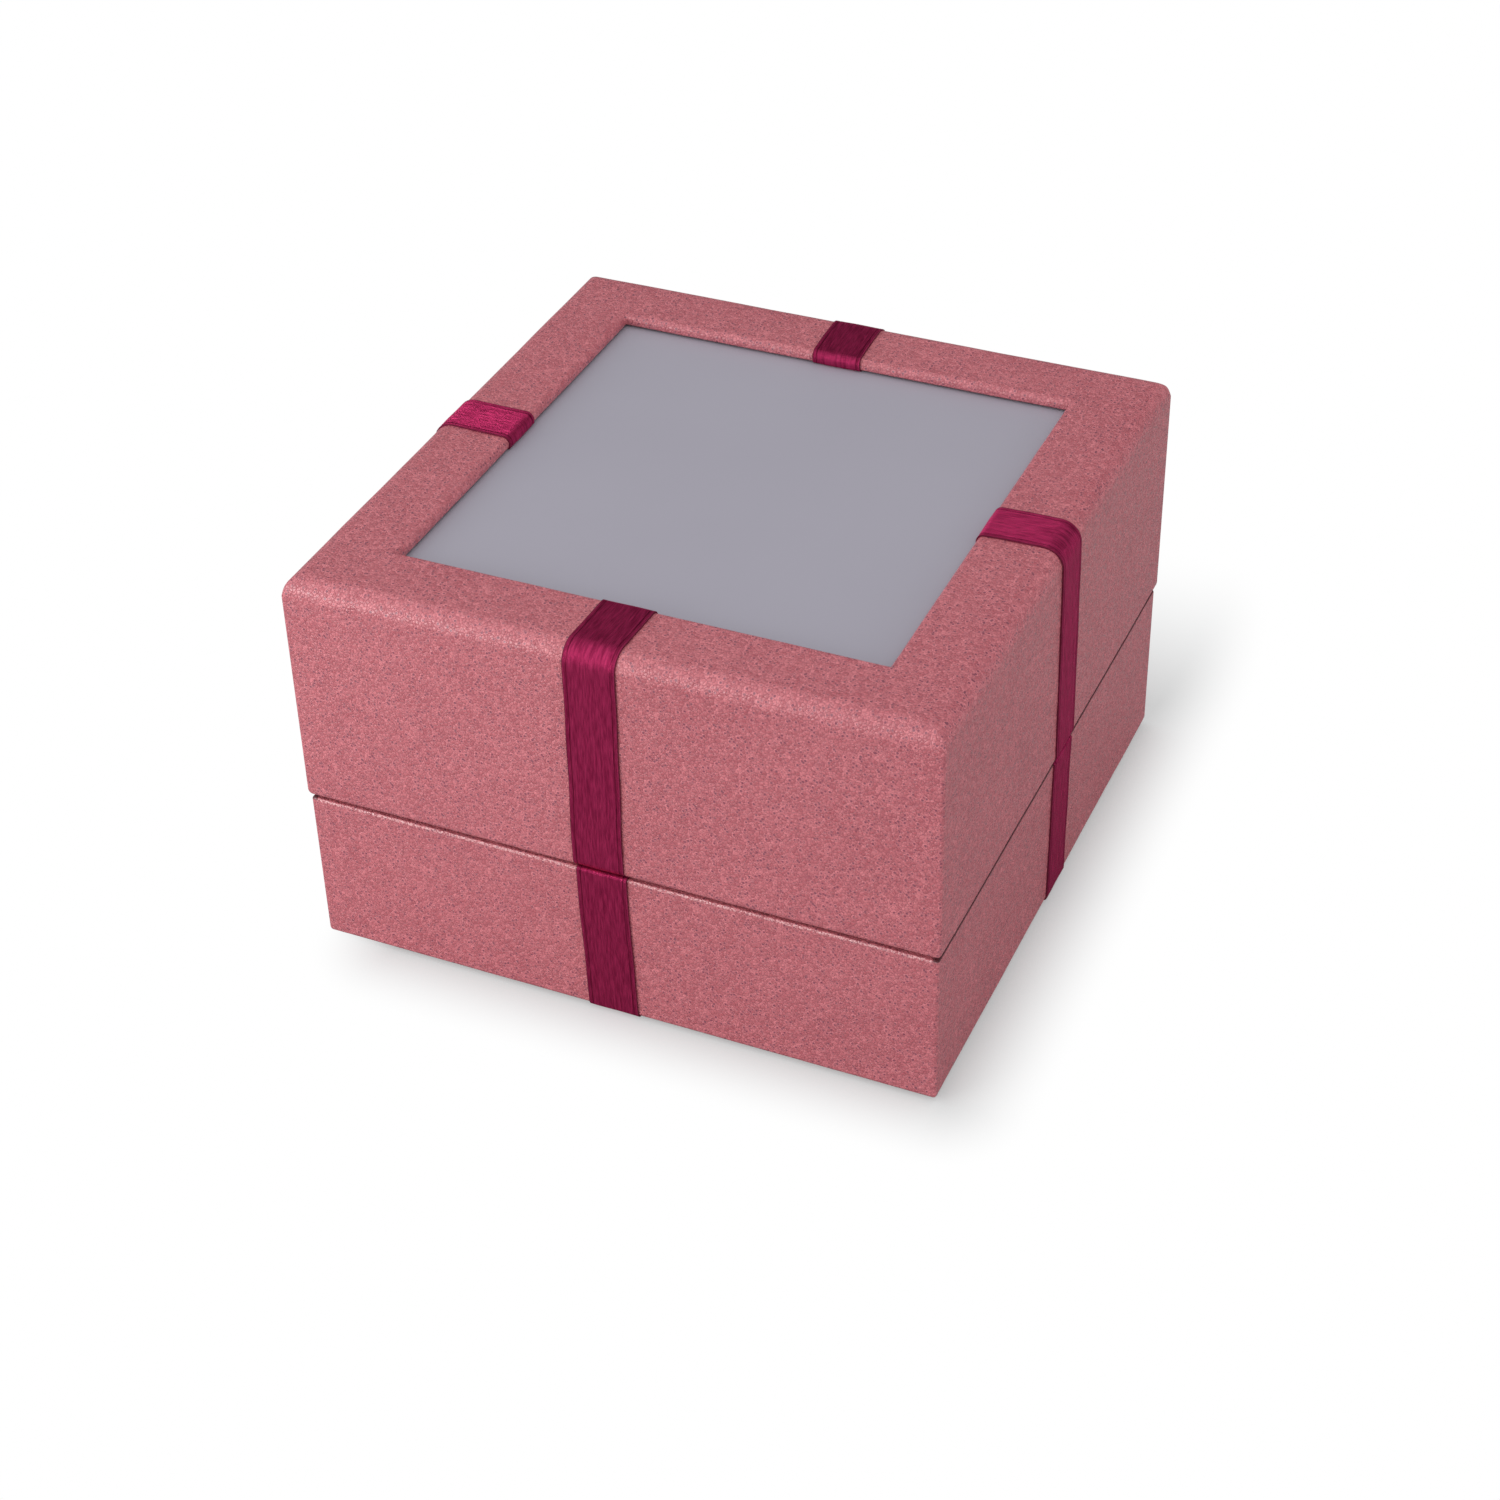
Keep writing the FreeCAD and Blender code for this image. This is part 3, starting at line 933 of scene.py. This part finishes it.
@dataclass
class Ribbon:
    """A satin ribbon that is glued over one side of the lid or of the base."""

    name: str
    node: str
    body: str
    carrier: str
    side: Side
    corners: list[tuple[float, float, float]]
    drift: list[tuple[float, float]]
    width: float = mm(12.0)
    thick: float = mm(0.34)
    # Places of the mesh's columns and of the groove, in millimetres from the ribbon's middle.
    half_columns: tuple[float, ...] = (1.7, 3.4, 4.6, 4.9, 5.05, 5.2, 5.55, 5.9, 6.0)
    groove: tuple[float, float] = (4.95, 5.15)
    groove_depth: float = mm(0.06)
    stride: float = mm(1.6)
    bend_steps: int = 9
    smoothed: float = 50.0
    # How far the ribbon strays to the side, in millimetres, and how it sinks and ripples.
    # Turns are in radians to the metre along it, and the ripple's second one to the millimetre across it.
    wander: float = 0.10
    wander_start: float = 2.0
    wander_turns: tuple[float, float] = (210.0, 67.0)
    sink: float = mm(0.02)
    ripple: float = mm(0.03)
    ripple_turns: tuple[float, float] = (330.0, 0.6)
    stations: list[Station] = field(default_factory=list)

    @property
    def columns(self) -> list[float]:
        """Places across the ribbon, in millimetres from its middle."""
        return [-place for place in reversed(self.half_columns)] + [0.0, *self.half_columns]

    @property
    def length(self) -> float:
        """Length of the ribbon along its outer face."""
        return self.stations[-1].along

    def lay_out(self) -> None:
        """Work out the stations, close together on the bends."""
        points: list[tuple[float, float, float, float]] = []
        places = [Vector(corner[:2]) for corner in self.corners]
        start = places[0]
        for index in range(1, len(places)):
            heading = (places[index] - places[index - 1]).normalized()
            last = index == len(places) - 1
            radius = 0.0 if last else self.corners[index][2]
            end = places[index] - heading * radius
            count = max(2, round((end - start).length / self.stride))
            points += self._run(start, end, heading, count)
            if last:
                break
            turn = (places[index + 1] - places[index]).normalized()
            points += self._bend(places[index], heading, turn, radius)
            start = places[index] + turn * radius
        self._measure(points)

    @staticmethod
    def _run(start: Vector, end: Vector, heading: Vector, count: int) -> list[tuple[float, ...]]:
        """List points and headings on a straight run.

        Args:
            start: First point.
            end: Last point.
            heading: Direction of the run.
            count: Steps on the run.

        Returns:
            Points with their headings.
        """
        return [(*start.lerp(end, step / count), *heading) for step in range(count + 1)]

    def _bend(self, corner: Vector, heading: Vector, turn: Vector, radius: float) -> list[tuple[float, ...]]:
        """List points and headings round a right-angled bend, without its two ends.

        Args:
            corner: Corner that is rounded off.
            heading: Direction before it.
            turn: Direction after it.
            radius: Radius of the bend.

        Returns:
            Points with their headings.
        """
        centre = corner + (turn - heading) * radius
        points = []
        for step in range(1, self.bend_steps):
            angle = math.pi / 2 * step / self.bend_steps
            place = centre - turn * radius * math.cos(angle) + heading * radius * math.sin(angle)
            way = heading * math.cos(angle) + turn * math.sin(angle)
            points.append((*place, *way))
        return points

    def _measure(self, points: list[tuple[float, ...]]) -> None:
        """Turn points with headings into stations, without doubles.

        Args:
            points: Points with their headings, in order.
        """
        along = 0.0
        self.stations = []
        for out, height, way_out, way_up in points:
            if self.stations:
                before = self.stations[-1]
                step = math.hypot(out - before.out, height - before.height)
                if near(step, 0.0):
                    continue
                along += step
            self.stations.append(Station(out, height, (-way_up, way_out), along))

    def set_off(self, along: float) -> float:
        """Give the ribbon's place across the side, which drifts along it.

        Args:
            along: Distance from the ribbon's start, in metres.

        Returns:
            The place of its middle, in metres.
        """
        share = along / self.length
        for (low, first), (high, second) in zip(self.drift, self.drift[1:]):
            if share <= high:
                ease = (share - low) / (high - low)
                return mm(first + (second - first) * ease)
        return mm(self.drift[-1][1])

    def relief(self, place: float) -> float:
        """Give the height of the face at a place across it: a groove parts the woven edge from the middle."""
        low, high = self.groove
        return -self.groove_depth if low < abs(place) < high else 0.0

    def build(self) -> bpy.types.Object:
        """Make the ribbon: a woven strip that is laid along its line.

        Returns:
            The finished piece, which stands for its node and rides with its body.
        """
        self.lay_out()
        columns = self.columns
        wide, long = len(columns), len(self.stations)
        Bench.clear()
        bpy.ops.mesh.primitive_grid_add(x_subdivisions=wide - 1, y_subdivisions=long - 1, size=1.0)
        piece = bpy.context.object
        piece.name = self.name
        piece.data.name = self.name
        mesh = piece.data
        flat = mesh.uv_layers[0]
        flat.name = "ribbon"
        spots = []
        for vertex in mesh.vertices:
            column = columns[round((vertex.co.x + 0.5) * (wide - 1))]
            station = self.stations[round((vertex.co.y + 0.5) * (long - 1))]
            spots.append((column, station))
        for loop in mesh.loops:
            column, station = spots[loop.vertex_index]
            flat.data[loop.index].uv = (mm(column) / self.width + 0.5, station.along / self.length)
        for vertex, (column, station) in zip(mesh.vertices, spots):
            vertex.co = self.laid(column, station)
        Bench.thicken(piece, self.thick)
        Bench.smooth(piece, self.smoothed)
        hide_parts(self.node)
        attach(piece, self.body)
        return piece

    def laid(self, column: float, station: Station) -> Vector:
        """Give the place of a point of the strip once it is laid.

        Args:
            column: Place across the strip, in millimetres.
            station: Place along its line.

        Returns:
            The place in the frame of the box.
        """
        quick, slow = (station.along * turns for turns in self.wander_turns)
        wander = self.wander * math.sin(quick + self.wander_start) * math.sin(slow)
        across = self.set_off(station.along) - mm(column + wander)
        phase = station.along * self.ripple_turns[0] + column * self.ripple_turns[1]
        lift = self.relief(column) - self.sink + self.ripple * math.sin(phase)
        out = station.out + station.face[0] * lift
        height = station.height + station.face[1] * lift
        return self.side.outward * out + self.side.across * across + Vector((0, 0, height))

    def dress(self, piece: bpy.types.Object) -> None:
        """Put the satin on the piece."""
        satin = Satin(f"{self.name}_satin", self.width, self.length)
        piece.data.materials.append(satin.material())


@dataclass
class Ribbons:
    """The eight ribbons of the box, four on the lid and four on the base."""

    # Corners of the two lines that ribbons follow: out from the axis, height and radius of the bend.
    lid_line: list[tuple[float, float, float]] = field(default_factory=lambda: [
        (mm(60.5), LID_TOP - mm(2.9), 0.0),
        (mm(55.6), LID_TOP - mm(2.9), mm(0.9)),
        (mm(55.6), LID_TOP + mm(0.4), mm(1.9)),
        (mm(75.4), LID_TOP + mm(0.4), mm(4.8)),
        (mm(75.4), SEAM + mm(0.12), mm(2.4)),
        (mm(69.62), SEAM + mm(0.12), mm(0.9)),
        (mm(69.62), SEAM + mm(11.0), 0.0),
    ])
    base_line: list[tuple[float, float, float]] = field(default_factory=lambda: [
        (mm(69.12), SEAM - mm(10.9), 0.0),
        (mm(69.12), SEAM - mm(0.02), mm(0.9)),
        (mm(74.9), SEAM - mm(0.02), mm(0.9)),
        (mm(74.9), mm(0.42), mm(1.5)),
        (mm(56.2), mm(0.42), 0.0),
    ])
    # Where each ribbon runs: shares of its length, with its place across the side there, in millimetres.
    lid_drift: dict[Side, list[tuple[float, float]]] = field(default_factory=lambda: {
        Side.FRONT: [(0.0, -1.4), (0.30, -2.3), (0.84, -3.0), (1.0, -3.0)],
        Side.RIGHT: [(0.0, 1.0), (0.30, 2.0), (0.84, 4.0), (1.0, 4.0)],
        Side.BACK: [(0.0, 0.9), (0.30, 2.4), (0.84, 2.0), (1.0, 2.0)],
        Side.LEFT: [(0.0, -0.1), (0.30, -0.6), (0.84, -0.3), (1.0, -0.3)],
    })
    base_drift: dict[Side, list[tuple[float, float]]] = field(default_factory=lambda: {
        Side.FRONT: [(0.0, -2.7), (0.24, -2.7), (0.76, -1.6), (1.0, -1.6)],
        Side.RIGHT: [(0.0, 4.3), (0.24, 4.3), (0.76, 3.6), (1.0, 3.6)],
        Side.BACK: [(0.0, 1.9), (0.24, 1.9), (0.76, 1.4), (1.0, 1.4)],
        Side.LEFT: [(0.0, -0.4), (0.24, -0.4), (0.76, -0.8), (1.0, -0.8)],
    })

    def build(self) -> list[bpy.types.Object]:
        """Make and dress the ribbons.

        Returns:
            The pieces.
        """
        pieces = []
        for side in Side:
            for body, line, drift in (
                ("lid", self.lid_line, self.lid_drift[side]),
                ("base", self.base_line, self.base_drift[side]),
            ):
                name = f"{body}_satin_{side.label}"
                node = f"{body}_ribbon_{side.label}"
                ribbon = Ribbon(name, node, body, f"{body}_cover", side, line, drift)
                piece = ribbon.build()
                ribbon.dress(piece)
                pieces.append(piece)
        return pieces


Finish = Union[Paper, PanelCoat, Felt]


@dataclass
class Boards:
    """The carried-over boards, papers, panel and pad, which only get their finishes."""

    finishes: dict[Stuff, Finish] = field(default_factory=lambda: {
        Stuff.FIBRE: Paper("fibre_board", swatch(150, 118, 84), swatch(182, 150, 112), 700.0, mm(0.06)),
        Stuff.LINING: Paper("lining_paper", swatch(226, 214, 198), swatch(240, 231, 218), 1100.0),
        Stuff.CARD: Paper("grey_card", swatch(128, 126, 122), swatch(158, 155, 150), 800.0),
        Stuff.COAT: PanelCoat(),
        Stuff.FELT: Felt(),
    })
    starts: dict[str, Stuff] = field(default_factory=lambda: {
        "lid_rail": Stuff.FIBRE,
        "lid_wall": Stuff.FIBRE,
        "base_wall": Stuff.FIBRE,
        "base_board": Stuff.FIBRE,
        "lid_lining": Stuff.LINING,
        "panel_backing": Stuff.LINING,
        "neck": Stuff.LINING,
        "floor_liner": Stuff.LINING,
        "display_panel": Stuff.COAT,
        "base_filler": Stuff.CARD,
        "base_pad": Stuff.FELT,
    })

    def dress(self, nodes: dict[str, bpy.types.Object]) -> dict[str, Stuff]:
        """Put each node's finish on it.

        Args:
            nodes: The nodes of the model, by name.

        Returns:
            What each dressed node is made of, by its name.
        """
        ready = {stuff: finish.material() for stuff, finish in self.finishes.items()}
        dressed: dict[str, Stuff] = {}
        for name, node in nodes.items():
            for start, stuff in self.starts.items():
                if name.startswith(start):
                    dressed[name] = stuff
                    for slot in node.material_slots:
                        slot.material = ready[stuff]
        return dressed


@dataclass(frozen=True)
class Lamp:
    """A soft lamp that looks at the box, and gives the same light from any distance."""

    name: str
    direction: tuple[float, float, float]
    distance: float
    size: tuple[float, float]
    level: float
    colour: tuple[float, float, float] = (1.0, 1.0, 1.0)

    def hang(self, target: Vector) -> None:
        """Hang the lamp.

        Args:
            target: Place that it looks at.
        """
        Bench.clear()
        way = Vector(self.direction).normalized()
        turn = way.to_track_quat("Z", "Y").to_euler()
        place = target + way * self.distance
        bpy.ops.object.light_add(type="AREA", location=place, rotation=turn)
        lamp = bpy.context.object
        lamp.name = self.name
        lamp.data.shape = "RECTANGLE"
        lamp.data.size, lamp.data.size_y = self.size
        lamp.data.color = self.colour
        lamp.data.energy = self.level * math.pi ** 2 * self.distance ** 2


@dataclass(frozen=True)
class Floor:
    """A pale floor that keeps the real shadow close to the box on ground painted grey as shade, and goes to
    white further out.
    """

    size: float = 8.0
    drop: float = mm(0.2)
    # The shaded ground, painted grey round the real shadow: its middle, half of its sides, how slowly it ends
    # behind the box, and how it fades.
    middle: tuple[float, float] = (mm(9.0), mm(5.0))
    half: tuple[float, float] = (mm(66.0), mm(77.0))
    behind: float = 0.3
    fade: tuple[float, float] = (mm(-10.0), mm(22.0))
    grain: float = 400.0
    pale: tuple[float, float] = (0.40, 0.42)
    pale_in_gloss: float = 0.28
    shown: Colour = (0.58, 0.60, 0.60, 1.0)
    lift: float = 0.05

    def lay(self) -> None:
        """Lay the floor just under the box."""
        Bench.clear()
        bpy.ops.mesh.primitive_plane_add(size=self.size, location=(0, 0, -self.drop))
        bpy.ops.object.transform_apply(location=True, rotation=True, scale=True)
        floor = bpy.context.object
        floor.name = "floor"
        floor.data.materials.append(self.material())

    def material(self) -> bpy.types.Material:
        """Make the material, which lights the box evenly and shows its shadow to the camera alone.

        Returns:
            The material.
        """
        material = bpy.data.materials.new("floor_white")
        board = NodeBoard(material)
        place = board.place()
        fine = board.noise(place, self.grain, 2.0)
        gloss = board.node("ShaderNodeLightPath", output="Is Glossy Ray")
        pale = board.mix(fine, *(grey(level) for level in self.pale))
        pale = board.mix(gloss, pale, grey(self.pale_in_gloss))
        matt = board.node("ShaderNodeBsdfDiffuse", {}, {"Color": pale})
        soft = board.node("ShaderNodeBsdfDiffuse", {}, {"Color": self.shown})
        glow = board.node("ShaderNodeEmission", {}, {"Strength": self.lift})
        shown = board.node("ShaderNodeAddShader", {}, {0: soft, 1: glow})
        white = board.node("ShaderNodeEmission", {}, {"Strength": 1.0})
        seen = board.seen()
        lifted = board.node("ShaderNodeMixShader", {}, {0: seen, 1: matt, 2: shown})
        # Painted shadow: inside this ground the camera sees grey floor, darker than white even where it is
        # lit, round the real shadow; further out it sees white.
        outer = seen * self._clear_of(board, place).ease(*self.fade)
        whole = board.node("ShaderNodeMixShader", {}, {0: outer, 1: lifted, 2: white})
        board.node("ShaderNodeOutputMaterial", {}, {"Surface": whole})
        return material

    def _clear_of(self, board: NodeBoard, place: Wire) -> Wire:
        """Give the distance from the ground that is painted grey as shade, which reaches further behind the
        box.

        Args:
            board: Board of the material.
            place: Place on the floor.

        Returns:
            The distance, in metres, and 0 on the shaded ground.
        """
        split = board.split(place)
        side = (abs(split - self.middle[0]) - self.half[0]).at_least(0.0)
        depth = split.other(1) - self.middle[1]
        back = (depth - self.half[1]) * self.behind
        ahead = back.at_least(-self.half[1] - depth).at_least(0.0)
        return (side * side + ahead * ahead).root()


@dataclass
class Studio:
    """Camera, floor, lamps and surroundings."""

    # The camera's place and its three axes, in the frame of the box.
    eye: tuple[float, float, float] = (0.2285, -0.5057, 0.4372)
    right: tuple[float, float, float] = (0.9168, 0.3987, -0.0206)
    up: tuple[float, float, float] = (-0.2239, 0.5562, 0.8003)
    back: tuple[float, float, float] = (0.3305, -0.7291, 0.5992)
    lens: float = 70.33
    sensor: float = 36.0
    nearest: float = mm(10.0)
    target: Vector = field(default_factory=lambda: Vector((0.0, 0.0, mm(50.0))))
    # The way to the brightest sky, and the darkest and brightest levels of the sky, plain and in gloss.
    sky_middle: tuple[float, float, float] = (-0.55, -0.45, 0.70)
    soft_sky: tuple[float, float] = (0.53, 1.03)
    gloss_sky: tuple[float, float] = (0.05, 1.16)
    gloss_edge: float = 0.22
    lamps: tuple[Lamp, ...] = (
        Lamp("key", (-0.62, -0.76, 0.20), 0.54, (0.34, 0.22), 0.40, (1.0, 0.99, 0.98)),
        Lamp("fill", (0.98, -0.14, 0.08), 1.20, (1.40, 0.80), 0.35, (0.99, 0.98, 1.0)),
    )

    def build(self) -> None:
        """Set up the whole studio."""
        self.set_camera()
        Floor().lay()
        self.set_surroundings()
        for lamp in self.lamps:
            lamp.hang(self.target)
        bpy.context.scene.view_settings.view_transform = "Standard"

    def set_camera(self) -> None:
        """Stand the camera where the photograph was taken from."""
        Bench.clear()
        bpy.ops.object.camera_add()
        camera = bpy.context.object
        columns = (self.right, self.up, self.back, self.eye)
        rows = [[column[row] for column in columns] for row in range(3)]
        camera.matrix_world = Matrix((*rows, (0, 0, 0, 1)))
        camera.data.lens = self.lens
        camera.data.sensor_width = self.sensor
        camera.data.clip_start = self.nearest
        camera.data.dof.use_dof = False
        bpy.context.scene.camera = camera

    def set_surroundings(self) -> None:
        """Put white behind the box, an even soft light round it, and a darker sky in its gloss."""
        world = bpy.data.worlds.new("studio")
        bpy.context.scene.world = world
        board = NodeBoard(world)
        way = board.node("ShaderNodeTexCoord", output="Generated")
        aim = {0: way, 1: self.sky_middle}
        lean = board.node("ShaderNodeVectorMath", {"operation": "DOT_PRODUCT"}, aim, "Value")
        even = board.mix(lean.ease(-1.0, 1.0), *(grey(level) for level in self.soft_sky))
        deep = board.mix(lean.ease(self.gloss_edge, 1.0), *(grey(level) for level in self.gloss_sky))
        gloss = board.node("ShaderNodeLightPath", output="Is Glossy Ray")
        soft = board.mix(gloss, even, deep)
        colour = board.mix(board.seen(), soft, grey(1.0))
        light = board.node("ShaderNodeBackground", {}, {"Color": colour, "Strength": 1.0})
        board.node("ShaderNodeOutputWorld", {}, {"Surface": light})


def main() -> None:
    """Build the covers, ribbons and finishes, then the studio."""
    logging.basicConfig(level=logging.INFO, format="%(name)s: %(message)s")
    rose = Leatherette().material()
    for cover in (LidCover(), BaseCover()):
        piece = cover.build()
        cover.dress(piece, rose)
        LOG.info("%s: %d faces", piece.name, len(piece.data.polygons))
    for piece in Ribbons().build():
        LOG.info("%s: %d faces", piece.name, len(piece.data.polygons))
    for name, stuff in Boards().dress(frame["nodes"]).items():
        LOG.info("%s: %s", name, stuff.value)
    Studio().build()


if __name__ == "__main__":
    main()
